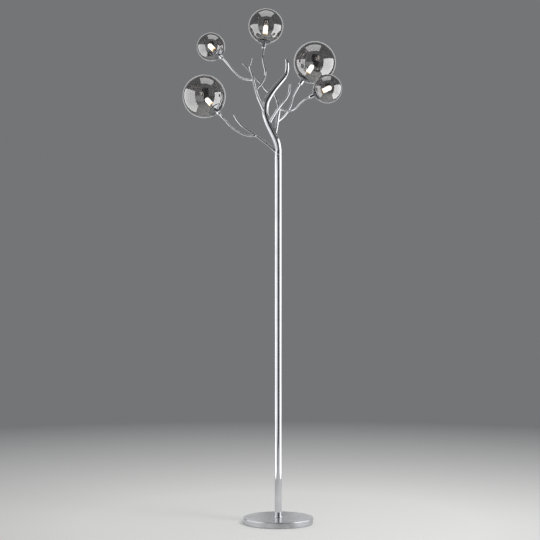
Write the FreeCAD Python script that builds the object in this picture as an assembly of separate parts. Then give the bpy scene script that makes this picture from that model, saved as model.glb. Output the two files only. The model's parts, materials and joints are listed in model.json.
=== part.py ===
import FreeCAD, Part
import math
import os

# Tree floor lamp: a weighted round foot, a straight stem, a bent trunk with four bare-tipped
# branches, and five thin arms that each carry a blown glass globe on a small saucer.
# Millimetres, +Z up. The origin is on the stem's axis at the foot's underside. The front of the
# lamp faces -Y, and the mains lead enters at the back, +Y.

V = FreeCAD.Vector
UP = V(0, 0, 1)
BACK = V(0, 1, 0)

# Foot
BASE_RADIUS = 122.5
BASE_TOP = 21.0
BASE_EDGE = 3.0
COVER_WALL = 1.2
COVER_BOTTOM = 1.0
PAD_HEIGHT = 2.0
RECESS_RADIUS = 20.0
RECESS_TOP = 15.5
CHANNEL_WIDTH = 12.0
CHANNEL_TOP = 12.0

# Cord gland in the rear rim
GLAND_HEIGHT = 7.0
GLAND_BORE = 3.4
GLAND_BODY = 4.6
GLAND_FLANGE = 5.5
GLAND_LENGTH = 12.0
FLANGE_THICKNESS = 2.0

# Hollow M10 stud with its nut and washer
STUD_RADIUS = 5.0
STUD_BORE = 3.3
STUD_BOTTOM = 11.5
STUD_TOP = 44.0
NUT_HEIGHT = 3.0
NUT_ACROSS_CORNERS = 16.2
WASHER_RADIUS = 11.0
THREAD_PLAY = 0.05

# Stem
STEM_RADIUS = 12.25
STEM_WALL = 1.5
STEM_TOP = 1288.0
STEM_LENGTHS = 3
PLUG_HEIGHT = 25.0
COLLAR_RADIUS = 17.3
COLLAR_HEIGHT = 2.0
COUPLER_LENGTH = 40.0
COUPLER_WALL = 2.0

# Lead and wires
LEAD_RADIUS = 2.5
LEAD_RUN_HEIGHT = 6.0
LEAD_BACK_END = 106.0
BLOCK_BOTTOM = 1226.0
BLOCK_SIZE = (13.0, 10.0, 24.0)
WIRE_RADIUS = 0.7
WIRE_SPACING = 4.0
# The wire's way through an arm, and the wider hole for it in the branch's wall
ARM_BORE = 2.4
BRANCH_HOLE = 3.3

# Trunk and branches: points of the centreline with the tube's outer radius there
TREE_WALL = 1.5
TRUNK = [
    (0, 0, 1288, 12.0), (0, 0, 1305, 12.0), (-5, 0, 1333, 12.0), (-20, 1, 1368, 12.0),
    (-35, 3, 1400, 12.0), (-45, 5, 1435, 12.0), (-43, 6, 1470, 12.0), (-31, 5, 1495, 11.2),
    (-13, 2, 1520, 9.8), (8, -1, 1544, 8.7), (24, -4, 1564, 7.8), (31, -7, 1587, 7.4),
    (31, -9, 1608, 6.4), (28.5, -10, 1621, 4.6),
]
TRUNK_BORE_POINTS = 7

BRANCHES = {
    "low_left": [
        (0, 0, 1292, 4.5), (-39, -8, 1325, 4.4), (-71, -14, 1349, 4.2), (-102, -20, 1370, 3.9),
        (-126, -25, 1387, 3.6), (-144, -29, 1407, 3.3), (-154, -32, 1424, 2.9),
    ],
    "left": [
        (-45, 5, 1437, 5.8), (-58, -2, 1462, 5.6), (-72, -8, 1493, 5.2), (-83, -12, 1531, 4.7),
        (-91, -14, 1569, 4.1), (-99, -14, 1594, 3.6), (-96, -12, 1611, 3.0), (-92, -10, 1623, 2.4),
    ],
    "front": [
        (-34, 3, 1397, 5.2), (-20, -9, 1419, 5.0), (-7, -18, 1439, 4.8), (12, -26, 1464, 4.5),
        (27, -32, 1481, 4.2), (38, -36, 1504, 4.0), (41, -38, 1530, 3.8),
    ],
    "back": [
        (-14, 1, 1354, 6.1), (-6.5, 14, 1386, 6.1), (-2, 21, 1416, 6.0), (2.5, 25, 1450, 5.2),
        (-2.5, 27, 1477, 4.3), (-14, 28, 1501, 3.9), (-40, 29, 1515, 3.7), (-58, 30, 1538, 3.5),
        (-79, 31, 1561, 3.3), (-102, 32, 1589, 2.9), (-124, 33, 1611, 2.5),
    ],
}
# How many of a branch's points its wire bore passes; a branch without a lamp is closed at its root
BRANCH_BORE_POINTS = {"low_left": 4, "left": 5, "front": 0, "back": 5}

# Arms: points of the centreline from the branch towards the ferrule
ARM_RADIUS = 3.5
ARMS = {
    "left_large": [
        (-78, -15, 1354), (-97, -20, 1352), (-116, -27, 1355), (-136, -36, 1363.5), (-162, -49, 1380),
        (-179, -57, 1398),
    ],
    "left_small": [(-86, -13, 1549), (-106, -6, 1550), (-129, 3, 1557), (-148, 12, 1574)],
    "top": [
        (-78, -11, 1516), (-62, -14, 1531), (-50, -16, 1549), (-45, -16, 1574), (-50, -13, 1602),
        (-54, -10, 1626),
    ],
    "right_large": [(-4, 18, 1404), (17, 30, 1422), (33, 46, 1443), (45, 60, 1469), (52, 74, 1497)],
    "right_small": [
        (2.5, 25, 1451), (24, 10, 1444), (40, -5, 1441), (58, -21, 1446), (78, -37, 1465.5),
    ],
}
ARM_BRANCH = {
    "left_large": "low_left",
    "left_small": "left",
    "top": "left",
    "right_large": "back",
    "right_small": "back",
}
# Where each wire lies in the trunk, to the right of the centreline and behind it, and how far
# behind the centreline it lies in its branch
WIRE_LANE = {
    "left_large": (-4, 0),
    "left_small": (3, 0),
    "top": (3, -3),
    "right_large": (2, 4),
    "right_small": (-1, 4),
}
WIRE_SIDE = {"left_large": 0, "left_small": 0.8, "top": -0.8, "right_large": 1, "right_small": -1}

# Shades: globe radius, globe centre, lean to the right and tilt to the back in degrees
SHADES = {
    "left_large": (75.0, (-258, -20, 1490), -40, 25),
    "left_small": (50.0, (-238, 68, 1676), -43, 27),
    "top": (61.0, (-43, 10, 1740), 6, 10),
    "right_large": (75.0, (131, 100, 1625), 34, 3),
    "right_small": (50.0, (171, -50, 1513), 65, 0),
}

# Shade parts, measured along the lamp's own axis from the saucer's underside
GLASS_WALL = 2.0
NECK_BORE = 15.3
NECK_HEIGHT = 7.0
GLOBE_LIFT = 3.0
# A saucer's radius: at least this, and at least this share of its globe's radius
CUP_LEAST_RADIUS = 22.5
CUP_SHARE = 0.36
CUP_WALL = 1.0
CUP_GAP = 1.6
CUP_FLAT = 15.4
GASKET_INNER = 17.8
GASKET_OUTER = 20.6
GASKET_PLAY = 0.3
RING_RADIUS = 15.0
RING_WALL = 2.5
RING_FLOOR = 1.5
RING_HEIGHT = 9.0
FERRULE_RADIUS = 7.25
FERRULE_LENGTH = 19.0
FERRULE_TAPER = 4.0
ARM_SEAT = 7.0
NIPPLE_BORE = 3.4
NIPPLE_BOTTOM = -11.0
NIPPLE_TOP = 9.0
HOLDER_RADIUS = 7.75
HOLDER_TOP = 28.0
HOLDER_CAVITY_TOP = 11.0
PIN_SPACING = 9.0
PIN_RADIUS = 0.7
PIN_LENGTH = 11.0
CONTACT_RADIUS = 1.7
CONTACT_BORE = 0.95
CONTACT_LENGTH = 13.0
BULB_PLAY = 0.3
BULB_BASE_RADIUS = 6.4
BULB_BASE_HEIGHT = 5.0
BULB_RADIUS = 8.4
BULB_HEIGHT = 34.0

os.makedirs("parts", exist_ok=True)


def save(name, shape):
    shape.exportStep("parts/" + name + ".step")


def rod(radius, bottom, top):
    return Part.makeCylinder(radius, top - bottom, V(0, 0, bottom))


def ring(outer, inner, bottom, top):
    return rod(outer, bottom, top).cut(rod(inner, bottom, top))


def revolved(edges):
    """Solid of revolution about Z of a closed outline in the XZ plane."""
    return Part.Face(Part.Wire(edges)).revolve(V(0, 0, 0), UP, 360)


def outline(points):
    """Closed run of straight edges through (radius, height) points."""
    corners = [V(r, 0, z) for r, z in points]
    return [Part.LineSegment(a, b).toShape() for a, b in zip(corners, corners[1:] + corners[:1])]


def bowed(start, end, centre_height, radius):
    """Arc in the XZ plane about (0, centre_height), from one point to another."""
    a = V(start[0], 0, start[1])
    b = V(end[0], 0, end[1])
    centre = V(0, 0, centre_height)
    middle = (a + b) * 0.5 - centre
    return Part.Arc(a, centre + middle.normalize() * radius, b).toShape()


def line(start, end):
    return Part.LineSegment(V(start[0], 0, start[1]), V(end[0], 0, end[1])).toShape()


def sphere_height(centre_height, radius, r):
    """Height of a sphere's underside at a distance r from its axis."""
    return centre_height - math.sqrt(radius ** 2 - r ** 2)


def smooth_line(points, upright_start=False):
    others = len(points) - 1
    curve = Part.BSplineCurve()
    curve.interpolate(Points=points, Tangents=[UP] + [V()] * others,
                      TangentFlags=[upright_start] + [False] * others)
    return curve


def tube(stations, steps=3, closed_tip=False, upright_start=False, straight_spans=False):
    """Round solid along a smooth line through (x, y, z, radius) stations."""
    centres = [V(*station[:3]) for station in stations]
    curve = smooth_line(centres, upright_start)
    places = [curve.parameter(centre) for centre in centres]
    circles = []
    for index in range(len(stations) - 1):
        for step in range(steps):
            share = step / steps
            place = places[index] * (1 - share) + places[index + 1] * share
            radius = stations[index][3] * (1 - share) + stations[index + 1][3] * share
            circles.append(circle_across(curve, place, radius))
    last_radius = stations[-1][3]
    circles.append(circle_across(curve, places[-1], last_radius))
    solid = Part.makeLoft(circles, True, straight_spans)
    if closed_tip:
        tip = Part.makeSphere(last_radius, centres[-1], curve.tangent(places[-1])[0], 0, 90, 360)
        solid = solid.fuse(tip)
    return solid


def circle_across(curve, place, radius):
    """Circle square to the curve, with its seam always towards the back."""
    turn = FreeCAD.Rotation(BACK, V(), curve.tangent(place)[0], "ZXY")
    circle = Part.makeCircle(radius)
    circle.Placement = FreeCAD.Placement(curve.value(place), turn)
    return Part.Wire(circle)


def slimmed(stations, wall):
    return [(x, y, z, radius - wall) for x, y, z, radius in stations]


def branch_bore(name):
    return tube(slimmed(BRANCHES[name][:BRANCH_BORE_POINTS[name]], TREE_WALL))


# --- Foot ---------------------------------------------------------------------------------------

def base_outer(shrink):
    """The foot's outer form, or the same form a wall thickness further in."""
    disc = rod(BASE_RADIUS - shrink, COVER_BOTTOM, BASE_TOP - shrink)
    rim = [edge for edge in disc.Edges if edge.BoundBox.ZMin > COVER_BOTTOM + 1]
    return disc.makeFillet(BASE_EDGE - shrink, [edge for edge in rim if edge.Closed])


def lead_channel(bottom):
    """Way for the lead, from the nut's recess to the back of the foot."""
    slot = Part.makeBox(CHANNEL_WIDTH, BASE_RADIUS, CHANNEL_TOP - bottom)
    slot.translate(V(-CHANNEL_WIDTH / 2, 0, bottom))
    return slot


def gland_rod(radius, front, back):
    return Part.makeCylinder(radius, back - front, V(0, front, GLAND_HEIGHT), BACK)


def make_foot():
    stud_hole = rod(STUD_RADIUS + THREAD_PLAY, 0, BASE_TOP)
    gland_back = BASE_RADIUS + FLANGE_THICKNESS
    gland_front = gland_back - GLAND_LENGTH
    gland_hole = gland_rod(GLAND_BODY + THREAD_PLAY, BASE_RADIUS - 10, gland_back)

    cover = base_outer(0).cut(base_outer(COVER_WALL)).cut(stud_hole).cut(gland_hole)
    save("base_cover", cover)

    weight_radius = BASE_RADIUS - COVER_WALL - 1.3
    weight = rod(weight_radius, PAD_HEIGHT, BASE_TOP - COVER_WALL)
    top_edges = [e for e in weight.Edges if e.Closed and e.BoundBox.ZMin > BASE_TOP - COVER_WALL - 0.1]
    weight = weight.makeFillet(BASE_EDGE, top_edges)
    weight = weight.cut(rod(RECESS_RADIUS, PAD_HEIGHT, RECESS_TOP))
    weight = weight.cut(lead_channel(PAD_HEIGHT)).cut(stud_hole)
    save("base_weight", weight)

    save("base_pad", rod(weight_radius - 1, 0, PAD_HEIGHT))

    gland = gland_rod(GLAND_BODY, gland_front, BASE_RADIUS)
    flange = gland_rod(GLAND_FLANGE, BASE_RADIUS - 1, gland_back)
    gland = gland.fuse(flange.cut(rod(BASE_RADIUS, 0, BASE_TOP)))
    save("cord_gland", gland.cut(gland_rod(GLAND_BORE, gland_front, gland_back)))

    save("base_stud", ring(STUD_RADIUS, STUD_BORE, STUD_BOTTOM, STUD_TOP))
    nut_top = STUD_BOTTOM + NUT_HEIGHT
    save("base_washer", ring(WASHER_RADIUS, STUD_RADIUS + THREAD_PLAY, nut_top, RECESS_TOP))
    corners = [(NUT_ACROSS_CORNERS / 2 * math.cos(math.radians(60 * i)),
                NUT_ACROSS_CORNERS / 2 * math.sin(math.radians(60 * i)), STUD_BOTTOM) for i in range(7)]
    nut = Part.Face(Part.makePolygon([V(*corner) for corner in corners])).extrude(UP * NUT_HEIGHT)
    save("base_nut", nut.cut(rod(STUD_RADIUS + THREAD_PLAY, STUD_BOTTOM, nut_top)))

    collar = ring(COLLAR_RADIUS, STEM_RADIUS + THREAD_PLAY, BASE_TOP, BASE_TOP + COLLAR_HEIGHT)
    upper_rim = [e for e in collar.Edges if e.Closed and e.BoundBox.ZMin > BASE_TOP + 1
                 and e.BoundBox.XMax > STEM_RADIUS + 1]
    save("foot_collar", collar.makeFillet(1.0, upper_rim))


# --- Stem ---------------------------------------------------------------------------------------

def make_stem():
    bore = STEM_RADIUS - STEM_WALL
    plug_radius = bore - THREAD_PLAY
    save("stem_foot_plug", ring(plug_radius, STUD_RADIUS + THREAD_PLAY, BASE_TOP, BASE_TOP + PLUG_HEIGHT))

    length = (STEM_TOP - BASE_TOP) / STEM_LENGTHS
    joints = []
    for index, name in enumerate(("stem_lower", "stem_middle", "stem_upper")):
        bottom = BASE_TOP + index * length
        save(name, ring(STEM_RADIUS, bore, bottom, bottom + length))
        joints.append(bottom + length)

    half = COUPLER_LENGTH / 2
    wire_way = branch_bore("low_left")
    couplers = [ring(plug_radius, plug_radius - COUPLER_WALL, z - half, z + half).cut(wire_way)
                for z in joints]
    save("stem_couplers", Part.makeCompound(couplers))

    bend = STUD_BOTTOM - LEAD_RUN_HEIGHT
    corner = bend * (1 - math.sqrt(0.5))
    back_run = Part.LineSegment(V(0, LEAD_BACK_END, LEAD_RUN_HEIGHT), V(0, bend, LEAD_RUN_HEIGHT))
    turn = Part.Arc(V(0, bend, LEAD_RUN_HEIGHT), V(0, corner, LEAD_RUN_HEIGHT + corner),
                    V(0, 0, STUD_BOTTOM))
    rise = Part.LineSegment(V(0, 0, STUD_BOTTOM), V(0, 0, BLOCK_BOTTOM))
    route = Part.Wire([back_run.toShape(), turn.toShape(), rise.toShape()])
    start = Part.Wire(Part.makeCircle(LEAD_RADIUS, V(0, LEAD_BACK_END, LEAD_RUN_HEIGHT), BACK))
    save("stem_lead", route.makePipeShell([start], True, False))

    width, depth, height = BLOCK_SIZE
    save("terminal_block", Part.makeBox(width, depth, height, V(-width / 2, -depth / 2, BLOCK_BOTTOM)))


# --- Shades -------------------------------------------------------------------------------------

def lamp_axis(name):
    """Direction from an arm's end to the middle of its globe."""
    lean = math.radians(SHADES[name][2])
    tilt = math.radians(SHADES[name][3])
    return V(math.sin(lean) * math.cos(tilt), math.sin(tilt), math.cos(lean) * math.cos(tilt))


def saucer_place(name):
    """Middle of the saucer's underside."""
    radius, centre = SHADES[name][:2]
    return V(*centre) - lamp_axis(name) * (radius + GLOBE_LIFT)


def lamp_placement(name):
    turn = FreeCAD.Rotation(BACK, V(), lamp_axis(name), "ZXY")
    return FreeCAD.Placement(saucer_place(name), turn)


def globe_shape(radius):
    """Blown globe with its screw neck turned inwards."""
    middle = radius + GLOBE_LIFT
    neck_outer = NECK_BORE + GLASS_WALL
    inner = radius - GLASS_WALL
    mouth = sphere_height(middle, radius, neck_outer)
    root = sphere_height(middle, inner, neck_outer)
    lip = mouth + 1
    top = mouth + NECK_HEIGHT
    return revolved([
        bowed((neck_outer, mouth), (0, middle + radius), middle, radius),
        line((0, middle + radius), (0, middle + inner)),
        bowed((0, middle + inner), (neck_outer, root), middle, inner),
        line((neck_outer, root), (neck_outer, top)),
        line((neck_outer, top), (NECK_BORE, top)),
        line((NECK_BORE, top), (NECK_BORE, lip)),
        line((NECK_BORE, lip), (neck_outer, mouth)),
    ])


def cup_shape(radius):
    """Saucer that follows the globe, with a flat middle for the ferrule."""
    middle = radius + GLOBE_LIFT
    inner = radius + CUP_GAP
    outer = inner + CUP_WALL
    reach = max(CUP_LEAST_RADIUS, CUP_SHARE * radius)
    hole = STUD_RADIUS + THREAD_PLAY
    floor = sphere_height(middle, inner, CUP_FLAT)
    shoulder = sphere_height(middle, outer, CUP_FLAT)
    rim_out = sphere_height(middle, outer, reach)
    rim_in = sphere_height(middle, inner, reach)
    return revolved([
        line((hole, 0), (FERRULE_RADIUS, 0)),
        line((FERRULE_RADIUS, 0), (CUP_FLAT, shoulder)),
        bowed((CUP_FLAT, shoulder), (reach, rim_out), middle, outer),
        line((reach, rim_out), (reach, rim_in)),
        bowed((reach, rim_in), (CUP_FLAT, floor), middle, inner),
        line((CUP_FLAT, floor), (hole, floor)),
        line((hole, floor), (hole, 0)),
    ])


def gasket_shape(radius):
    """Silicone ring between saucer and globe."""
    middle = radius + GLOBE_LIFT
    upper = radius + GASKET_PLAY
    lower = radius + CUP_GAP - GASKET_PLAY
    corners = [(r, sphere_height(middle, R, r)) for r, R in
               ((GASKET_INNER, lower), (GASKET_OUTER, lower), (GASKET_OUTER, upper), (GASKET_INNER, upper))]
    return revolved([
        bowed(corners[0], corners[1], middle, lower),
        line(corners[1], corners[2]),
        bowed(corners[2], corners[3], middle, upper),
        line(corners[3], corners[0]),
    ])


def ring_floor(radius):
    """Height of the saucer's inner floor, which carries the thread ring."""
    return sphere_height(radius + GLOBE_LIFT, radius + CUP_GAP, CUP_FLAT)


def thread_ring_shape(radius):
    floor = ring_floor(radius)
    hole = STUD_RADIUS + THREAD_PLAY
    bore = RING_RADIUS - RING_WALL
    return revolved(outline([
        (hole, floor), (RING_RADIUS, floor), (RING_RADIUS, floor + RING_HEIGHT),
        (bore, floor + RING_HEIGHT), (bore, floor + RING_FLOOR), (hole, floor + RING_FLOOR),
    ]))


def ferrule_shape():
    arm_hole = ARM_RADIUS + THREAD_PLAY
    bore = STUD_RADIUS + THREAD_PLAY
    seat = -FERRULE_LENGTH + ARM_SEAT
    return revolved(outline([
        (arm_hole, -FERRULE_LENGTH), (arm_hole + 1, -FERRULE_LENGTH),
        (FERRULE_RADIUS, -FERRULE_LENGTH + FERRULE_TAPER), (FERRULE_RADIUS, 0), (bore, 0),
        (bore, seat), (arm_hole, seat),
    ]))


def pin_places():
    return [V(side * PIN_SPACING / 2, 0, 0) for side in (-1, 1)]


def moved(shape, offset):
    copy = shape.copy()
    copy.translate(offset)
    return copy


def holder_shape(radius):
    bottom = ring_floor(radius) + RING_FLOOR
    body = rod(HOLDER_RADIUS, bottom, HOLDER_TOP)
    rims = [e for e in body.Edges if e.Closed and e.BoundBox.ZMin > HOLDER_TOP - 0.1]
    body = body.makeFillet(1.2, rims)
    body = body.cut(rod(STUD_RADIUS + THREAD_PLAY, bottom, HOLDER_CAVITY_TOP))
    for place in pin_places():
        body = body.cut(moved(rod(CONTACT_RADIUS + THREAD_PLAY, HOLDER_CAVITY_TOP, HOLDER_TOP), place))
    return body


def contact_shapes():
    top = HOLDER_TOP - 2
    sleeve = ring(CONTACT_RADIUS, CONTACT_BORE, top - CONTACT_LENGTH, top)
    return [moved(sleeve, place) for place in pin_places()]


def bulb_shapes():
    """Base with two pins, and the lit capsule above it."""
    bottom = HOLDER_TOP + BULB_PLAY
    seam = bottom + BULB_BASE_HEIGHT
    base = rod(BULB_BASE_RADIUS, bottom, seam)
    pin = rod(PIN_RADIUS, bottom - PIN_LENGTH, bottom + 2)
    for place in pin_places():
        base = base.fuse(moved(pin, place))
    shoulder = seam + 4
    crown = seam + BULB_HEIGHT - BULB_RADIUS
    glass = revolved([
        line((0, seam), (BULB_BASE_RADIUS, seam)),
        line((BULB_BASE_RADIUS, seam), (BULB_RADIUS, shoulder)),
        line((BULB_RADIUS, shoulder), (BULB_RADIUS, crown)),
        bowed((BULB_RADIUS, crown), (0, crown + BULB_RADIUS), crown, BULB_RADIUS),
        line((0, crown + BULB_RADIUS), (0, seam)),
    ])
    return base, glass


def make_shades():
    ferrules = []
    nipples = []
    rings = []
    contacts = []
    bulb_base, bulb_glass = bulb_shapes()
    for name, (radius, *_) in SHADES.items():
        placement = lamp_placement(name)

        def placed(shape):
            copy = shape.copy()
            copy.Placement = placement.multiply(copy.Placement)
            return copy

        save("globe_" + name, placed(globe_shape(radius)))
        save("gasket_" + name, placed(gasket_shape(radius)))
        save("cup_" + name, placed(cup_shape(radius)))
        save("holder_" + name, placed(holder_shape(radius)))
        save("bulb_base_" + name, placed(bulb_base))
        save("bulb_glass_" + name, placed(bulb_glass))
        rings.append(placed(thread_ring_shape(radius)))
        ferrules.append(placed(ferrule_shape()))
        nipples.append(placed(ring(STUD_RADIUS, NIPPLE_BORE, NIPPLE_BOTTOM, NIPPLE_TOP)))
        contacts.extend(placed(contact) for contact in contact_shapes())
    save("arm_ferrules", Part.makeCompound(ferrules))
    save("holder_nipples", Part.makeCompound(nipples))
    save("thread_rings", Part.makeCompound(rings))
    save("holder_contacts", Part.makeCompound(contacts))


# --- Tree ---------------------------------------------------------------------------------------

def with_radius(points, radius):
    return [(*point[:3], radius) for point in points]


def on_axis(name, height):
    point = saucer_place(name) + lamp_axis(name) * height
    return (point.x, point.y, point.z)


def arm_line(name):
    """An arm's points, with its straight end in the ferrule."""
    return ARMS[name] + [on_axis(name, -FERRULE_LENGTH + height) for height in (-10, -5, 0, ARM_SEAT - 1)]


def wire_shape(name):
    """A wire from the terminal block through trunk, branch and arm to its lampholder."""
    branch = BRANCHES[ARM_BRANCH[name]]
    right, behind = WIRE_LANE[name]
    side = WIRE_SIDE[name]
    root = V(*branch[0][:3])
    arm_root = ARMS[name][0]
    reach = (V(*arm_root) - root).Length

    in_trunk = [(right, behind, BLOCK_BOTTOM + BLOCK_SIZE[2])]
    in_trunk += [(x + right, y + behind, z) for x, y, z, _ in TRUNK if z < root.z - 10]
    knee = (root.x + right, root.y + behind, root.z)
    in_trunk.append(knee)

    shifted_root = (arm_root[0], arm_root[1] + side, arm_root[2])
    in_branch = [knee]
    in_branch += [(x, y + side, z) for x, y, z, _ in branch[1:]
                  if (V(x, y, z) - root).Length < reach - 10]
    in_branch.append(shifted_root)
    in_arm = [shifted_root] + arm_line(name)[1:] + [on_axis(name, NIPPLE_TOP)]

    route = [in_trunk[0]]
    for run in (in_trunk, in_branch, in_arm):
        curve = smooth_line([V(*point) for point in run], upright_start=run is in_trunk)
        count = max(4, round(curve.length() / WIRE_SPACING))
        route += [tuple(point) for point in curve.discretize(Number=count)[1:-1]]
    route.append(in_arm[-1])
    return tube(with_radius(route, WIRE_RADIUS), steps=1, upright_start=True, straight_spans=True)


def make_tree():
    trunk_solid = tube(TRUNK, closed_tip=True, upright_start=True)
    trunk_bore = tube(slimmed(TRUNK[:TRUNK_BORE_POINTS], TREE_WALL), upright_start=True)
    trunk = trunk_solid.cut(trunk_bore)
    half = COUPLER_LENGTH / 2
    trunk = trunk.cut(rod(STEM_RADIUS - STEM_WALL, STEM_TOP, STEM_TOP + half))

    branch_solids = {name: tube(stations, closed_tip=True) for name, stations in BRANCHES.items()}
    branch_bores = {name: branch_bore(name) for name, points in BRANCH_BORE_POINTS.items() if points}
    for bore in branch_bores.values():
        trunk = trunk.cut(bore)
    save("trunk", trunk)

    for name, solid in branch_solids.items():
        branch = solid.cut(trunk_solid)
        if name in branch_bores:
            branch = branch.cut(branch_bores[name])
        for arm, owner in ARM_BRANCH.items():
            if owner == name:
                branch = branch.cut(tube(with_radius(arm_line(arm), BRANCH_HOLE)))
        save("branch_" + name, branch)

    for name in ARMS:
        arm = tube(with_radius(arm_line(name), ARM_RADIUS))
        bore = tube(with_radius(arm_line(name), ARM_BORE))
        save("arm_" + name, arm.cut(branch_solids[ARM_BRANCH[name]]).cut(bore))

    save("arm_wires", Part.makeCompound([wire_shape(name) for name in ARMS]))


make_foot()
make_stem()
make_shades()
make_tree()
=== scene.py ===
import json
import math

import bmesh
import bpy
from bpy.props import FloatProperty, FloatVectorProperty, IntProperty, PointerProperty
from mathutils import Matrix, Vector
from mathutils.geometry import interpolate_bezier


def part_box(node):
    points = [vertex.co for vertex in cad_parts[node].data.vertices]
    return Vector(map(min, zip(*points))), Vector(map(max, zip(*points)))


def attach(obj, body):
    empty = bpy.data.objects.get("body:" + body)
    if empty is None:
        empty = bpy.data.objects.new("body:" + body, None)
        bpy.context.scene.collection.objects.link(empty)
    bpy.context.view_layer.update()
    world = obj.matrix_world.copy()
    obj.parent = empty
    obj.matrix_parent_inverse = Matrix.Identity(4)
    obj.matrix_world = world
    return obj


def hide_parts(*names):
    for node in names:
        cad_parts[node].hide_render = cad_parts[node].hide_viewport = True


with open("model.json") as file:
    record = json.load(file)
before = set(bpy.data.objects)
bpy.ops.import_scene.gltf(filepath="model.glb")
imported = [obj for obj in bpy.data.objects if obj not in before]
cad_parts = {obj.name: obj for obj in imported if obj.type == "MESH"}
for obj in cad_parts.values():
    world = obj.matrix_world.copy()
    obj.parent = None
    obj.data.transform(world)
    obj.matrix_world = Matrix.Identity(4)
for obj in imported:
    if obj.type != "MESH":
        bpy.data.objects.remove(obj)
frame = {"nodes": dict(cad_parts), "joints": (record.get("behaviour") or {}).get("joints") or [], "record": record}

# Tree floor lamp: a chromed foot and stem, a bent trunk with bare-tipped branches, and five thin
# arms that each carry a blown smoke glass globe on a pressed saucer. Metres, +Z up; the front
# faces -Y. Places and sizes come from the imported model, or are named here in real sizes.

bl_info = {
    "name": "Tree Floor Lamp",
    "version": (1, 0, 0),
    "blender": (4, 5, 0),
    "location": "3D View > Sidebar > Tree Lamp",
    "description": "Builds the visible pieces and finishes of a tree floor lamp with five glass globes",
    "category": "Add Mesh",
}

MM = 0.001
# How near to a rim an edge must lie to be picked, and the room between a tube and the ring round it
NEAR = 0.1 * MM
FIT = 0.05 * MM
UP = Vector((0, 0, 1))
BACK = Vector((0, 1, 0))
SHADES = ("left_large", "left_small", "top", "right_large", "right_small")
STEM_LENGTHS = ("stem_lower", "stem_middle", "stem_upper")
JOINTS = {joint["name"]: joint for joint in frame["joints"]}

# Centrelines in millimetres with the tube's radius at each point, as the tubes are bent
TRUNK = (
    (0, 0, 1288, 12.0), (0, 0, 1305, 12.0), (-5, 0, 1333, 12.0), (-20, 1, 1368, 12.0),
    (-35, 3, 1400, 12.0), (-45, 5, 1435, 12.0), (-43, 6, 1470, 12.0), (-31, 5, 1495, 11.2),
    (-13, 2, 1520, 9.8), (8, -1, 1544, 8.7), (24, -4, 1564, 7.8), (31, -7, 1587, 7.4),
    (31, -9, 1608, 6.4), (28.5, -10, 1621, 4.6),
)
BRANCHES = {
    "low_left": (
        (0, 0, 1292, 4.5), (-39, -8, 1325, 4.4), (-71, -14, 1349, 4.2), (-102, -20, 1370, 3.9),
        (-126, -25, 1387, 3.6), (-144, -29, 1407, 3.3), (-154, -32, 1424, 2.9),
    ),
    "left": (
        (-45, 5, 1437, 5.8), (-58, -2, 1462, 5.6), (-72, -8, 1493, 5.2), (-83, -12, 1531, 4.7),
        (-91, -14, 1569, 4.1), (-99, -14, 1594, 3.6), (-96, -12, 1611, 3.0), (-92, -10, 1623, 2.4),
    ),
    "front": (
        (-34, 3, 1397, 5.2), (-20, -9, 1419, 5.0), (-7, -18, 1439, 4.8), (12, -26, 1464, 4.5),
        (27, -32, 1481, 4.2), (38, -36, 1504, 4.0), (41, -38, 1530, 3.8),
    ),
    "back": (
        (-14, 1, 1354, 6.1), (-6.5, 14, 1386, 6.1), (-2, 21, 1416, 6.0), (2.5, 25, 1450, 5.2),
        (-2.5, 27, 1477, 4.3), (-14, 28, 1501, 3.9), (-40, 29, 1515, 3.7), (-58, 30, 1538, 3.5),
        (-79, 31, 1561, 3.3), (-102, 32, 1589, 2.9), (-124, 33, 1611, 2.5),
    ),
}
ARM_RADIUS = 3.5
ARMS = {
    "left_large": (
        (-78, -15, 1354), (-97, -20, 1352), (-116, -27, 1355), (-136, -36, 1363.5), (-162, -49, 1380),
        (-179, -57, 1398),
    ),
    "left_small": ((-86, -13, 1549), (-106, -6, 1550), (-129, 3, 1557), (-148, 12, 1574)),
    "top": (
        (-78, -11, 1516), (-62, -14, 1531), (-50, -16, 1549), (-45, -16, 1574), (-50, -13, 1602),
        (-54, -10, 1626),
    ),
    "right_large": ((-4, 18, 1404), (17, 30, 1422), (33, 46, 1443), (45, 60, 1469), (52, 74, 1497)),
    "right_small": (
        (2.5, 25, 1451), (24, 10, 1444), (40, -5, 1441), (58, -21, 1446), (78, -37, 1465.5),
    ),
}
# An arm's straight end in its ferrule, measured from the saucer's underside
ARM_END = (-29, -24, -19, -13)


# --- Values ---------------------------------------------------------------------------------------

def colour(code):
    """Linear red, green and blue of an sRGB hex colour."""
    parts = [int(code[i:i + 2], 16) / 255 for i in (1, 3, 5)]
    return tuple(c / 12.92 if c <= 0.04045 else ((c + 0.055) / 1.055) ** 2.4 for c in parts)


def length(name, description, default):
    return FloatProperty(name=name, description=description, default=default, min=0, unit="LENGTH",
                         precision=5)


def tint(name, description, code):
    return FloatVectorProperty(name=name, description=description, default=colour(code), min=0, max=1,
                               subtype="COLOR")


BASE_LOW, BASE_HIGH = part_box("base_cover")
COLLAR_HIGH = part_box("foot_collar")[1]
GLAND_LOW, GLAND_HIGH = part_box("cord_gland")


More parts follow.
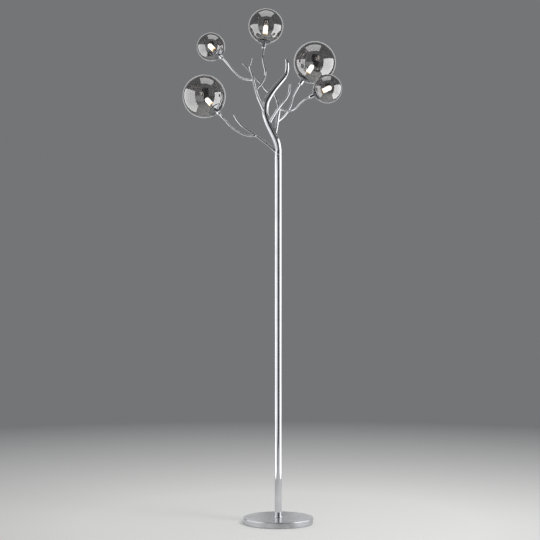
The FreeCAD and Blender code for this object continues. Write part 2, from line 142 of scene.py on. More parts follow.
class FootSizes(bpy.types.PropertyGroup):
    radius: length("Radius", "Outer radius of the foot", BASE_HIGH.x)
    top: length("Top", "Height of the foot's top face", BASE_HIGH.z)
    bottom: length("Bottom", "Height of the cover's lower rim", BASE_LOW.z)
    edge: length("Edge", "Radius of the spun top edge", 3 * MM)
    wall: length("Wall", "Thickness of the spun cover", 1.2 * MM)
    hole: length("Hole", "Radius of the hole for the stud", 5.05 * MM)
    pad_inset: length("Pad inset", "How far the pad stays inside the cover", 3.5 * MM)
    pad_height: length("Pad height", "Thickness of the foam pad", 2 * MM)
    gland_bore: length("Gland bore", "Radius of the gland's hole", 3.4 * MM)
    gland_body: length("Gland body", "Radius of the gland inside the rim", 4.6 * MM)
    flange: length("Flange", "Thickness of the gland's flange", 2 * MM)


class StemSizes(bpy.types.PropertyGroup):
    wall: length("Wall", "Thickness of the tube", 1.5 * MM)
    ease: length("Ease", "Broken edge at the ends of each length", 0.12 * MM)


class TreeSizes(bpy.types.PropertyGroup):
    branch_flare: FloatProperty(name="Branch flare", description="How much a branch widens at its weld",
                                default=0.42, min=0, subtype="FACTOR")
    branch_reach: length("Branch reach", "How far from its root a branch is widened", 48 * MM)
    arm_flare: FloatProperty(name="Arm flare", description="How much an arm widens at its weld",
                             default=0.5, min=0, subtype="FACTOR")
    arm_reach: length("Arm reach", "How far from its root an arm is widened", 16 * MM)
    sides: IntProperty(name="Sides", description="Faces around each branch and arm", default=32, min=8)
    trunk_sides: IntProperty(name="Trunk sides", description="Faces around the trunk", default=48, min=8)
    spans: IntProperty(name="Spans", description="Rings between two points of a tube", default=5, min=1)


class ShadeSizes(bpy.types.PropertyGroup):
    glass: length("Glass", "Thickness of the blown glass", 2 * MM)
    neck_bore: length("Neck bore", "Inner radius of the globe's screw neck", 15.3 * MM)
    neck_height: length("Neck height", "How far the neck is turned in", 7 * MM)
    lift: length("Lift", "Height of the globe's lowest point over the saucer's underside", 3 * MM)
    cup_radius: length("Saucer radius", "Least outer radius of a pressed saucer", 22.5 * MM)
    cup_share: FloatProperty(name="Saucer share", description="Least saucer radius for a globe's radius",
                             default=0.36, min=0, max=1, subtype="FACTOR")
    cup_wall: length("Saucer wall", "Thickness of the pressed saucer", 1 * MM)
    cup_gap: length("Saucer gap", "Room between saucer and globe", 1.6 * MM)
    cup_flat: length("Saucer flat", "Radius of the saucer's flat middle", 15.4 * MM)
    hole: length("Hole", "Radius of the holes for the threaded nipple", 5.05 * MM)
    ring_radius: length("Ring radius", "Outer radius of the thread ring", 15 * MM)
    ring_bore: length("Ring bore", "Inner radius of the thread ring", 12.5 * MM)
    ring_height: length("Ring height", "Height of the thread ring", 9 * MM)
    ring_floor: length("Ring floor", "Thickness of the thread ring's floor", 1.5 * MM)
    ferrule_radius: length("Ferrule radius", "Radius of the ferrule under the saucer", 7.25 * MM)
    ferrule_length: length("Ferrule length", "Length of the ferrule", 19 * MM)
    holder_radius: length("Holder radius", "Radius of the lampholder", 7.75 * MM)
    holder_top: length("Holder top", "Height of the lampholder's top", 28 * MM)
    gasket_inner: length("Gasket inner", "Inner radius of the silicone ring", 17.8 * MM)
    gasket_outer: length("Gasket outer", "Outer radius of the silicone ring", 20.6 * MM)
    gasket_play: length("Gasket play", "Room on each side of the silicone ring", 0.3 * MM)
    bulb_radius: length("Bulb radius", "Radius of the lit capsule", 8.4 * MM)
    bulb_height: length("Bulb height", "Length of the lit capsule", 34 * MM)
    bulb_base: length("Bulb base", "Radius of the bulb's base", 6.4 * MM)
    pin_spacing: length("Pin spacing", "Distance between the bulb's two pins", 9 * MM)
    pin_radius: length("Pin radius", "Radius of each pin", 0.7 * MM)
    pin_length: length("Pin length", "Length of each pin", 11 * MM)


class Finishes(bpy.types.PropertyGroup):
    chrome: tint("Chrome", "Reflection colour of the chrome plate", "#D9DBDE")
    # The saucers' darker chrome is painted shade: the same plate, darkened to stand for the shade under the globes
    saucer_painted_shade_chrome: tint("Saucer chrome with painted shade", "Reflection colour of the saucers' plate, darkened as painted shade", "#8A8B8E")
    smoke: tint("Smoke", "Tint of the smoke glass", "#B0ADAC")
    ceramic: tint("Ceramic", "Unglazed ceramic of the lampholders", "#CFC7B2")
    glow: tint("Glow", "Light of the bulbs", "#FFF9F0")
    ember: tint("Ember", "Warmer light near a bulb's base", "#FFC27A")
    plastic: tint("Plastic", "Moulded plastic of the gland", "#1B1B1D")


class StageSettings(bpy.types.PropertyGroup):
    floor: tint("Floor", "Pale floor", "#EFEFEE")
    background: tint("Background", "Plain grey background", "#747577")
    cloth: tint("Cloth", "Dark screen in front of the lamp", "#161516")
    dusk: tint("Dusk", "Grey screen high in front of the lamp", "#AFAFAF")
    card: tint("Card", "Pale cards that the chrome reflects", "#D8D8D9")
    camera_side: FloatProperty(name="Camera side", description="Camera's place along X",
                               default=-0.0287, unit="LENGTH")
    camera_back: length("Camera back", "Camera's distance in front of the stem", 5.17)
    camera_height: length("Camera height", "Camera's height over the floor", 0.885)
    lens: FloatProperty(name="Lens", description="Focal length on a 36 mm sensor", default=98.5, min=1,
                        unit="CAMERA")


# --- Materials ------------------------------------------------------------------------------------

# A colour Mix node's sockets by number, because their names are shared with its other kinds
MIX_FACTOR, MIX_FIRST, MIX_SECOND, MIX_RESULT = 0, 6, 7, 2
# Most values of a noise lie between these
NOISE_LOW, NOISE_HIGH = 0.3, 0.7
NOISE = "ShaderNodeTexNoise"


def add_node(tree, kind, inputs, **settings):
    """Adds a node with its settings, sets or joins its inputs, and returns its outputs."""
    made = tree.nodes.new(kind)
    for key, value in settings.items():
        setattr(made, key, value)
    for key, value in inputs.items():
        if isinstance(value, bpy.types.NodeSocket):
            tree.links.new(value, made.inputs[key])
        else:
            made.inputs[key].default_value = value
    return made.outputs


def opaque(rgb):
    return (*rgb, 1.0)


def per_metre(millimetres):
    """Texture scale at which one feature of a noise is about this large."""
    return 1 / (millimetres * MM)


def start_material(name, values):
    material = bpy.data.materials.new(name)
    material.use_nodes = True
    tree = material.node_tree
    shader = tree.nodes["Principled BSDF"]
    for key, value in values.items():
        shader.inputs[key].default_value = value
    return material, tree, shader, add_node(tree, "ShaderNodeTexCoord", {})["Object"]


def vary_colour(tree, shader, pattern, first, second, start=NOISE_LOW, end=NOISE_HIGH, key="Base Color"):
    """Lets a pattern carry one of the shader's colours from the first tone to the second."""
    share = add_node(tree, "ShaderNodeMapRange", {"Value": pattern, "From Min": start, "From Max": end})
    mixed = add_node(tree, "ShaderNodeMix", {
        MIX_FACTOR: share["Result"], MIX_FIRST: opaque(first), MIX_SECOND: opaque(second),
    }, data_type="RGBA")
    tree.links.new(mixed[MIX_RESULT], shader.inputs[key])


def vary_skin(tree, shader, gloss, low, high, height, depth, strength=1.0):
    """Lets one pattern carry the roughness, and one raise the skin by its real depth in millimetres."""
    rough = add_node(tree, "ShaderNodeMapRange", {
        "Value": gloss, "From Min": NOISE_LOW, "From Max": NOISE_HIGH, "To Min": low, "To Max": high,
    })
    raised = add_node(tree, "ShaderNodeBump",
                      {"Height": height, "Distance": depth * MM, "Strength": strength})
    tree.links.new(rough["Result"], shader.inputs["Roughness"])
    tree.links.new(raised["Normal"], shader.inputs["Normal"])


def finishes():
    return bpy.context.scene.lamp_finishes


def chrome_plate(name, first, second):
    """Chrome over polished nickel on steel: a clear mirror with faint wiping haze."""
    material, tree, shader, place = start_material(name, {"Metallic": 1.0})
    # The plate has a slightly deeper tone in thin, cloudy patches
    cloud = add_node(tree, NOISE, {"Vector": place, "Scale": per_metre(60), "Detail": 3})["Fac"]
    vary_colour(tree, shader, cloud, first, second)
    # Wiping haze is a few centimetres wide, with fine streaks in it
    haze = add_node(tree, NOISE,
                    {"Vector": place, "Scale": per_metre(18), "Detail": 5, "Roughness": 0.7})["Fac"]
    waves = add_node(tree, NOISE, {"Vector": place, "Scale": per_metre(14)})["Fac"]
    vary_skin(tree, shader, haze, 0.025, 0.07, waves, 0.02, strength=0.25)
    return material


def spun_chrome():
    """Satin chrome of the foot: ring-shaped lathe lines draw each light out into a soft fan."""
    material, tree, shader, place = start_material("spun_satin_chrome", {
        "Metallic": 1.0, "Anisotropic": 0.6, "Anisotropic Rotation": 0.25,
    })
    around = add_node(tree, "ShaderNodeVectorMath", {0: UP, 1: place}, operation="CROSS_PRODUCT")["Vector"]
    tree.links.new(around, shader.inputs["Tangent"])
    cloud = add_node(tree, NOISE, {"Vector": place, "Scale": per_metre(40), "Detail": 3})["Fac"]
    vary_colour(tree, shader, cloud, colour("#CDCFD2"), colour("#B9BBBE"))
    # Real lathe lines are finer than half a millimetre; these are about 2 mm apart, so that they show
    rings = add_node(tree, "ShaderNodeTexWave",
                     {"Vector": place, "Scale": per_metre(6), "Distortion": 0.4, "Detail": 3},
                     wave_type="RINGS", rings_direction="Z")["Fac"]
    vary_skin(tree, shader, cloud, 0.26, 0.32, rings, 0.01, strength=0.4)
    return material


def smoke_glass():
    """Blown glass with a thin smoked metal coat outside: smoky, half mirrored, softly uneven."""
    material, tree, shader, place = start_material("smoked_blown_glass", {
        "Transmission Weight": 1.0, "IOR": 1.5, "Coat IOR": 2.6, "Coat Roughness": 0.01,
    })
    # The mirror coat is steamed onto the outside alone
    coated = add_node(tree, "ShaderNodeAttribute", {}, attribute_name="outside")["Fac"]
    tree.links.new(coated, shader.inputs["Coat Weight"])
    # Blowing leaves the smoke a little denser in some wide patches than in others
    smoke = add_node(tree, NOISE, {"Vector": place, "Scale": per_metre(70), "Detail": 1})["Fac"]
    vary_colour(tree, shader, smoke, finishes().smoke, colour("#A6A3A2"))
    film = add_node(tree, NOISE, {"Vector": place, "Scale": per_metre(25), "Detail": 3})["Fac"]
    waves = add_node(tree, NOISE, {"Vector": place, "Scale": per_metre(38), "Detail": 0})["Fac"]
    vary_skin(tree, shader, film, 0.0, 0.02, waves, 0.08, strength=0.3)
    return material


def unglazed_ceramic():
    """Pressed steatite of a lampholder: matt, pale, with fine dark grains."""
    material, tree, shader, place = start_material("unglazed_steatite", {"IOR": 1.55})
    grain = add_node(tree, NOISE, {"Vector": place, "Scale": per_metre(0.5), "Detail": 4})["Fac"]
    vary_colour(tree, shader, grain, finishes().ceramic, colour("#9E947C"), 0.45, 0.75)
    vary_skin(tree, shader, grain, 0.55, 0.8, grain, 0.05)
    return material


def bulb_capsule():
    """Frosted capsule of a pin bulb, lit: white, and warmer towards its base."""
    material, tree, shader, place = start_material("lit_frosted_capsule", {
        "Roughness": 0.35, "Base Color": opaque(colour("#F6F1E8")), "Emission Strength": 4.2,
    })
    # The ember tone fades out in the lowest part of the capsule
    rise = add_node(tree, "ShaderNodeAttribute", {}, attribute_name="rise")["Fac"]
    vary_colour(tree, shader, rise, finishes().ember, finishes().glow, 0.0, 0.14, key="Emission Color")
    frost = add_node(tree, NOISE, {"Vector": place, "Scale": per_metre(0.8)})["Fac"]
    raised = add_node(tree, "ShaderNodeBump", {"Height": frost, "Distance": 0.03 * MM})["Normal"]
    tree.links.new(raised, shader.inputs["Normal"])
    return material


def bulb_foot():
    """Glazed white ceramic of a pin bulb's base, yellowed by heat."""
    material, tree, shader, place = start_material("glazed_bulb_base", {"IOR": 1.52, "Coat Weight": 0.4})
    stain = add_node(tree, NOISE, {"Vector": place, "Scale": per_metre(4), "Detail": 3})["Fac"]
    glaze = add_node(tree, NOISE, {"Vector": place, "Scale": per_metre(0.7)})["Fac"]
    vary_colour(tree, shader, stain, colour("#E9DFC9"), colour("#C9A566"))
    vary_skin(tree, shader, stain, 0.25, 0.45, glaze, 0.02)
    return material


def turned_aluminium():
    """Thread ring turned on a lathe: bright, with fine tool marks."""
    material, tree, shader, place = start_material("turned_aluminium", {"Metallic": 1.0})
    marks = add_node(tree, NOISE, {"Vector": place, "Scale": per_metre(0.6), "Detail": 3})["Fac"]
    vary_colour(tree, shader, marks, colour("#D3D4D6"), colour("#A9ABAE"))
    vary_skin(tree, shader, marks, 0.22, 0.42, marks, 0.03)
    return material


def zinc_steel():
    """Zinc plated steel of nut, washer, stud and nipples: grey with a pale yellow bloom."""
    material, tree, shader, place = start_material("zinc_plated_steel", {"Metallic": 1.0})
    bloom = add_node(tree, NOISE, {"Vector": place, "Scale": per_metre(3), "Detail": 4})["Fac"]
    crystals = add_node(tree, NOISE, {"Vector": place, "Scale": per_metre(0.4)})["Fac"]
    vary_colour(tree, shader, bloom, colour("#B9B8B4"), colour("#A89F86"))
    vary_skin(tree, shader, bloom, 0.3, 0.5, crystals, 0.02)
    return material


def cast_iron():
    """Black dipped cast iron of the weight: coarse sand grain under a dull skin."""
    material, tree, shader, place = start_material("black_dipped_cast_iron", {"Metallic": 0.6})
    sand = add_node(tree, NOISE,
                    {"Vector": place, "Scale": per_metre(1.2), "Detail": 6, "Roughness": 0.65})["Fac"]
    vary_colour(tree, shader, sand, colour("#1E1E20"), colour("#3A3835"))
    vary_skin(tree, shader, sand, 0.55, 0.85, sand, 0.4)
    return material


def foam_rubber():
    """Black foamed rubber of the pad: matt, with fine open cells."""
    material, tree, shader, place = start_material("black_foam_rubber", {"IOR": 1.52})
    cells = add_node(tree, "ShaderNodeTexVoronoi", {"Vector": place, "Scale": per_metre(0.9)})["Distance"]
    vary_colour(tree, shader, cells, colour("#0E0E0F"), colour("#262627"), 0.1, 0.6)
    vary_skin(tree, shader, cells, 0.95, 0.8, cells, 0.25)
    return material


def moulded_plastic(name, first, second, gloss):
    """Injection moulded plastic with a fine spark-eroded skin."""
    material, tree, shader, place = start_material(name, {"IOR": 1.5})
    flow = add_node(tree, NOISE, {"Vector": place, "Scale": per_metre(6)})["Fac"]
    grain = add_node(tree, NOISE, {"Vector": place, "Scale": per_metre(0.35), "Detail": 3})["Fac"]
    vary_colour(tree, shader, flow, first, second)
    vary_skin(tree, shader, grain, gloss, gloss + 0.15, grain, 0.03)
    return material


def clear_silicone():
    """Milky silicone of the gasket: soft sheen, lets some light through."""
    material, tree, shader, place = start_material("milky_silicone", {
        "IOR": 1.41, "Transmission Weight": 0.35, "Subsurface Weight": 0.2,
        "Subsurface Radius": (2 * MM, 2 * MM, 1.8 * MM),
    })
    dust = add_node(tree, NOISE, {"Vector": place, "Scale": per_metre(1.5), "Detail": 4})["Fac"]
    vary_colour(tree, shader, dust, colour("#D9D9D6"), colour("#C4C4C0"))
    vary_skin(tree, shader, dust, 0.35, 0.55, dust, 0.02)
    return material


def drawn_brass():
    """Spring brass of the lampholder contacts, drawn and lightly tarnished."""
    material, tree, shader, place = start_material("drawn_brass", {"Metallic": 1.0})
    tarnish = add_node(tree, NOISE, {"Vector": place, "Scale": per_metre(0.8), "Detail": 4})["Fac"]
    vary_colour(tree, shader, tarnish, colour("#D8B768"), colour("#8F6E33"))
    vary_skin(tree, shader, tarnish, 0.2, 0.45, tarnish, 0.01)
    return material


MATERIAL_MAKERS = {
    "polished_chrome": lambda: chrome_plate("polished_chrome_plate", finishes().chrome, colour("#C9CBCF")),
    # The saucers take a darker copy of the chrome plate, as painted shade under the globes
    "painted_shade_saucer_finish": lambda: chrome_plate("painted_shade_chrome_plate", finishes().saucer_painted_shade_chrome, colour("#77787B")),
    "spun_chrome": spun_chrome,
    "cast_iron": cast_iron,
    "pad_rubber": foam_rubber,
    "gland_plastic": lambda: moulded_plastic("black_moulded_nylon", finishes().plastic,
                                             colour("#232326"), 0.4),
    "zinc_steel": zinc_steel,
    "turned_aluminium": turned_aluminium,
    "block_plastic": lambda: moulded_plastic("white_moulded_nylon", colour("#E4E1D8"), colour("#D6D2C6"),
                                             0.35),
    "lead_sheath": lambda: moulded_plastic("black_extruded_vinyl", colour("#161617"),
                                           colour("#202022"), 0.3),
    "wire_sheath": lambda: moulded_plastic("clear_wire_sheath", colour("#C9C3B4"), colour("#B7AF9C"), 0.3),
    "holder_ceramic": unglazed_ceramic,
    "contact_brass": drawn_brass,
    "bulb_base": bulb_foot,
    "bulb_glass": bulb_capsule,
    "silicone": clear_silicone,
    "smoke_glass": smoke_glass,
}
MATERIALS = {}


def finish_of(slot):
    """The material of a slot, made once."""
    if slot not in MATERIALS:
        MATERIALS[slot] = MATERIAL_MAKERS[slot]()
    return MATERIALS[slot]


# --- Mesh tools -----------------------------------------------------------------------------------

def add_object(name, data):
    made = bpy.data.objects.new(name, data)
    bpy.context.scene.collection.objects.link(made)
    return made


def mesh_of(name, bm, material):
    """Turns a drawing into a mesh of one material, and frees the drawing."""
    mesh = bpy.data.meshes.new(name)
    bm.to_mesh(mesh)
    bm.free()
    mesh.materials.append(material)
    return mesh


def finish_piece(name, bm, slot, body, node, weighted=True, finish=None):
    """Makes the piece of a drawing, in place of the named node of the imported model."""
    bmesh.ops.recalc_face_normals(bm, faces=bm.faces)
    mesh = mesh_of(name, bm, finish_of(finish or slot))
    mesh.shade_smooth()
    piece = add_object(name, mesh)
    if weighted:
        shading = piece.modifiers.new("Face weighted shading", "WEIGHTED_NORMAL")
        shading.keep_sharp = True
    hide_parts(node)
    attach(piece, body)


def bowed(centre_height, radius, start, end, steps):
    """Points of an arc about a point on the axis, between two distances from the axis."""
    first = math.asin(min(1, start / radius))
    last = math.asin(min(1, end / radius))
    turns = [first + (last - first) * step / steps for step in range(steps + 1)]
    return [(radius * math.sin(turn), centre_height - radius * math.cos(turn)) for turn in turns]


def round_edges(bm, edges, width, segments, clamp=False):
    bmesh.ops.bevel(bm, geom=edges, offset=width, segments=segments, profile=0.5, affect="EDGES",
                    material=-1, clamp_overlap=clamp)


def sharp_edges(bm, angle):
    """Edges between two faces that meet at more than an angle in degrees."""
    return [edge for edge in bm.edges if len(edge.link_faces) == 2
            and edge.calc_face_angle() > math.radians(angle)]


def round_corners(bm, width, segments, sharper_than=25):
    """Rounds every ring edge that turns by more than an angle in degrees."""
    round_edges(bm, sharp_edges(bm, sharper_than), width, segments, clamp=True)


def outer_rim(bm, radius, height):
    """Edges of the rim that is the furthest out and up, at this radius and height."""
    return [edge for edge in bm.edges
            if all(vert.co.xy.length > radius - NEAR and vert.co.z > height - NEAR for vert in edge.verts)]


def turned(points, steps):
    """Spins a closed profile of (radius, height) points about Z; a side on the axis is left open."""
    bm = bmesh.new()
    corners = [bm.verts.new((r, 0, z)) for r, z in points]
    pairs = zip(corners, corners[1:] + corners[:1])
    edges = [bm.edges.new(pair) for pair in pairs if any(vert.co.x > 0 for vert in pair)]
    bmesh.ops.spin(bm, geom=corners + edges, cent=(0, 0, 0), axis=UP, angle=2 * math.pi, steps=steps,
                   use_merge=True)
    bmesh.ops.remove_doubles(bm, verts=bm.verts, dist=0.001 * MM)
    bmesh.ops.recalc_face_normals(bm, faces=bm.faces)
    return bm


def lamp_place(name):
    """Puts a shade part on its arm: Z becomes the shade's axis, and X the line of the bulb's pins."""
    joint = JOINTS["globe_" + name + "_turn"]
    axis = Vector(joint["axis"]).normalized()
    pins = (BACK - axis * BACK.dot(axis)).normalized()
    turn = Matrix((pins, axis.cross(pins), axis)).transposed().to_4x4()
    return Matrix.Translation(joint["pos_m"]) @ turn


def globe_radius(name):
    low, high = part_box("globe_" + name)
    return max(high - low) / 2


def put(bm, place):
    bmesh.ops.transform(bm, matrix=place, verts=bm.verts)
    return bm


def headings(points):
    """Direction of a line at each of its points."""
    last = len(points) - 1
    return [(points[min(i + 1, last)] - points[max(i - 1, 0)]).normalized() for i in range(last + 1)]


def smooth_route(stations, spans):
    """Points and radii, in metres, along a smooth line through stations in millimetres."""
    points = [Vector(station[:3]) * MM for station in stations]
    radii = [station[3] * MM for station in stations]
    ways = headings(points)
    shares = [step / spans for step in range(spans)]
    route = []
    for i in range(len(points) - 1):
        reach = (points[i + 1] - points[i]).length / 3
        stretch = interpolate_bezier(points[i], points[i] + ways[i] * reach,
                                     points[i + 1] - ways[i + 1] * reach, points[i + 1], spans + 1)
        route += [(stretch[n], radii[i] * (1 - share) + radii[i + 1] * share)
                  for n, share in enumerate(shares)]
    route.append((points[-1], radii[-1]))
    return route


def flared(route, flare, reach):
    """Widens a route's radii towards its root, where the weld is ground smooth."""
    root = route[0][0]
    widened = []
    for point, radius in route:
        left = max(0, 1 - (point - root).length / reach)
        widened.append((point, radius * (1 + flare * left ** 2)))
    return widened


def next_ring(bm, ring, matrix):
    """Extrudes an open ring of edges and moves the new ring."""
    made = bmesh.ops.extrude_edge_only(bm, edges=ring)["geom"]
    verts = [item for item in made if isinstance(item, bmesh.types.BMVert)]
    known = set(verts)
    bmesh.ops.transform(bm, matrix=matrix, verts=verts)
    return [item for item in made if isinstance(item, bmesh.types.BMEdge) and set(item.verts) <= known]


def bent_tube(route, sides, tip):
    """Tube along a route, closed at its root, and with a round tip or a flat end."""
    bm = bmesh.new()
    ways = headings([point for point, _ in route])
    turn = UP.rotation_difference(ways[0])
    places = []
    for i, (point, radius) in enumerate(route):
        if i:
            turn = ways[i - 1].rotation_difference(ways[i]) @ turn
        places.append(Matrix.LocRotScale(point, turn, Vector((radius, radius, radius))))
    if tip:
        # The tip is a half ball, drawn in rings at these degrees and closed at its crown
        end = places[-1]
        for angle in (30, 55, 75):
            forward = math.sin(math.radians(angle))
            across = math.cos(math.radians(angle))
            places.append(end @ Matrix.LocRotScale(Vector((0, 0, forward)), None, Vector((across,) * 3)))
    bmesh.ops.create_circle(bm, cap_ends=False, radius=1, segments=sides, matrix=places[0])
    ring = list(bm.edges)
    root = list(ring)
    for before, after in zip(places, places[1:]):
        ring = next_ring(bm, ring, after @ before.inverted())
    if tip:
        crown = route[-1][0] + ways[-1] * route[-1][1]
        bmesh.ops.pointmerge(bm, verts=list({vert for edge in ring for vert in edge.verts}), merge_co=crown)
    else:
        bmesh.ops.edgeloop_fill(bm, edges=ring)
    bmesh.ops.edgeloop_fill(bm, edges=root)
    return bm


# --- Foot -----------------------------------------------------------------------------------------

def make_cover(sizes):
    """Spun cover of the foot, with its rounded top edge."""
    inner = sizes.radius - sizes.wall
    ceiling = sizes.top - sizes.wall
    bm = turned([
        (sizes.hole, sizes.top), (sizes.radius, sizes.top), (sizes.radius, sizes.bottom),
        (inner, sizes.bottom), (inner, ceiling), (sizes.hole, ceiling),
    ], steps=192)
    round_edges(bm, outer_rim(bm, sizes.radius, sizes.top), sizes.edge, 8)
    lower = [edge for edge in sharp_edges(bm, 60)
             if all(vert.co.z < sizes.bottom + NEAR for vert in edge.verts)]
    round_edges(bm, lower, sizes.wall / 4, 2)
    finish_piece("foot_cover_spun", bm, "polished_chrome", "stand", "base_cover", finish="spun_chrome")


def make_collar(sizes):
    """Small chromed ring where the stem meets the foot."""
    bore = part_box("stem_lower")[1].x + FIT
    bm = turned([
        (bore, sizes.top), (COLLAR_HIGH.x, sizes.top), (COLLAR_HIGH.x, COLLAR_HIGH.z),
        (bore, COLLAR_HIGH.z),
    ], steps=96)
    round_edges(bm, outer_rim(bm, COLLAR_HIGH.x, COLLAR_HIGH.z), 1 * MM, 5)
    finish_piece("foot_collar_turned", bm, "polished_chrome", "stand", "foot_collar")


def make_pad(sizes):
    """Foam pad that the lamp stands on, with a softly pressed edge."""
    radius = sizes.radius - sizes.pad_inset
    bm = turned([(0, 0), (radius, 0), (radius, sizes.pad_height), (0, sizes.pad_height)], steps=128)
    round_corners(bm, 0.5 * MM, 3)
    finish_piece("foot_pad_foam", bm, "pad_rubber", "stand", "base_pad")


def make_gland(sizes):
    """Moulded bush for the mains lead, in the rear rim: body, flange and rounded bore."""
    height = (GLAND_LOW.z + GLAND_HIGH.z) / 2
    flange_radius = (GLAND_HIGH.z - GLAND_LOW.z) / 2
    long = GLAND_HIGH.y - GLAND_LOW.y
    seat = long - sizes.flange
    bore_lip = sizes.gland_bore + 0.6 * MM
    bm = turned([
        (sizes.gland_bore, 0), (sizes.gland_body, 0), (sizes.gland_body, seat),
        (flange_radius, seat), (flange_radius, long - 0.7 * MM), (bore_lip + 0.5 * MM, long),
        (bore_lip, long), (sizes.gland_bore, long - 0.9 * MM),
    ], steps=48)
    round_corners(bm, 0.25 * MM, 3)
    lie_back = Matrix.Translation((0, GLAND_LOW.y, height)) @ Matrix.Rotation(-math.pi / 2, 4, "X")
    finish_piece("cord_gland_moulded", put(bm, lie_back), "gland_plastic", "stand", "cord_gland")


# --- Stem -----------------------------------------------------------------------------------------

def make_stem_length(name, sizes):
    """One drawn tube of the stem, with broken edges at its screwed ends."""
    low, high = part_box(name)
    bore = high.x - sizes.wall
    bm = turned([(bore, low.z), (high.x, low.z), (high.x, high.z), (bore, high.z)], steps=96)
    round_corners(bm, sizes.ease, 2)
    finish_piece(name + "_drawn", bm, "polished_chrome", "stand", name)


# --- Tree -----------------------------------------------------------------------------------------

def make_trunk(sizes):
    bm = bent_tube(smooth_route(TRUNK, sizes.spans), sizes.trunk_sides, tip=True)
    finish_piece("trunk_bent", bm, "polished_chrome", "stand", "trunk", weighted=False)


def make_branch(name, sizes):
    route = flared(smooth_route(BRANCHES[name], sizes.spans), sizes.branch_flare, sizes.branch_reach)
    bm = bent_tube(route, sizes.sides, tip=True)
    finish_piece("branch_" + name + "_bent", bm, "polished_chrome", "stand", "branch_" + name,
                 weighted=False)


def make_arm(name, sizes):
    """Thin bent tube from its branch into the ferrule under the saucer."""
    joint = JOINTS["globe_" + name + "_turn"]
    start, axis = Vector(joint["pos_m"]), Vector(joint["axis"])
    straight = [start / MM + axis * height for height in ARM_END]
    stations = [(*point, ARM_RADIUS) for point in (*ARMS[name], *straight)]
    route = flared(smooth_route(stations, sizes.spans), sizes.arm_flare, sizes.arm_reach)
    bm = bent_tube(route, sizes.sides, tip=False)
    finish_piece("arm_" + name + "_bent", bm, "polished_chrome", "stand", "arm_" + name,
                 weighted=False)


# --- Shades ---------------------------------------------------------------------------------------

def on_all_shades(drawings):
    """One mesh of a drawing for each shade, each put on its arm."""
    whole = bmesh.new()
    for name, drawing in zip(SHADES, drawings):
        mesh = bpy.data.meshes.new("copy")
        put(drawing, lamp_place(name)).to_mesh(mesh)
        drawing.free()
        whole.from_mesh(mesh)
        bpy.data.meshes.remove(mesh)
    return whole


def saucer_floor(name, sizes):
    """Height of the saucer's inner floor, which carries the thread ring."""
    radius = globe_radius(name)
    return radius + sizes.lift - math.sqrt((radius + sizes.cup_gap) ** 2 - sizes.cup_flat ** 2)


def make_saucer(name, sizes):
    """Pressed saucer that follows the globe, flat in the middle for the ferrule."""
    radius = globe_radius(name)
    middle = radius + sizes.lift
    inner = radius + sizes.cup_gap
    outer = inner + sizes.cup_wall
    reach = max(sizes.cup_radius, sizes.cup_share * radius)
    under = bowed(middle, outer, sizes.cup_flat, reach, steps=10)
    over = bowed(middle, inner, reach, sizes.cup_flat, steps=10)
    bm = turned([(sizes.hole, 0), (sizes.ferrule_radius + 1 * MM, 0), *under, *over,
                 (sizes.hole, over[-1][1])], steps=96)
    round_corners(bm, 0.3 * MM, 3)
    # The saucer's chrome is darkened as painted shade under its globe
    finish_piece("saucer_" + name + "_pressed", put(bm, lamp_place(name)), "polished_chrome", "stand",
                 "cup_" + name, finish="painted_shade_saucer_finish")


def ferrule_drawing(sizes):
    """Turned sleeve between arm and saucer, drawn in towards the arm."""
    arm_hole = ARM_RADIUS * MM + FIT
    long = -sizes.ferrule_length
    seat = long + 7 * MM
    bm = turned([
        (arm_hole, long), (arm_hole + 1 * MM, long), (sizes.ferrule_radius, long + 4 * MM),
        (sizes.ferrule_radius, 0), (sizes.hole, 0), (sizes.hole, seat), (arm_hole, seat),
    ], steps=64)
    round_corners(bm, 0.45 * MM, 3, sharper_than=20)
    return bm


def thread_ring_drawing(name, sizes):
    """Ring with a fine outer thread, which the globe's neck screws onto."""
    floor = saucer_floor(name, sizes)
    top = floor + sizes.ring_height
    crest = sizes.ring_radius
    root = crest - 0.25 * MM
    pitch = 1.5 * MM
    ridges = []
    for index in range(4):
        start = floor + 2 * MM + index * pitch
        ridges += [(root, start), (crest, start + pitch / 3), (crest, start + pitch / 2)]
    return turned([
        (sizes.hole, floor), (crest, floor), (crest, floor + 1.6 * MM), *ridges, (root, top - 0.6 * MM),
        (root - 0.5 * MM, top), (sizes.ring_bore, top), (sizes.ring_bore, floor + sizes.ring_floor),
        (sizes.hole, floor + sizes.ring_floor),
    ], steps=64)


def make_gasket(name, sizes):
    """Silicone ring between saucer and globe."""
    radius = globe_radius(name)
    middle = radius + sizes.lift
    upper = radius + sizes.gasket_play
    lower = radius + sizes.cup_gap - sizes.gasket_play
    under = bowed(middle, lower, sizes.gasket_inner, sizes.gasket_outer, 3)
    over = bowed(middle, upper, sizes.gasket_outer, sizes.gasket_inner, 3)
    bm = turned([*under, *over], steps=96)
    round_corners(bm, 0.2 * MM, 3)
    finish_piece("gasket_" + name + "_moulded", put(bm, lamp_place(name)), "silicone", "gasket_" + name,
                 "gasket_" + name)


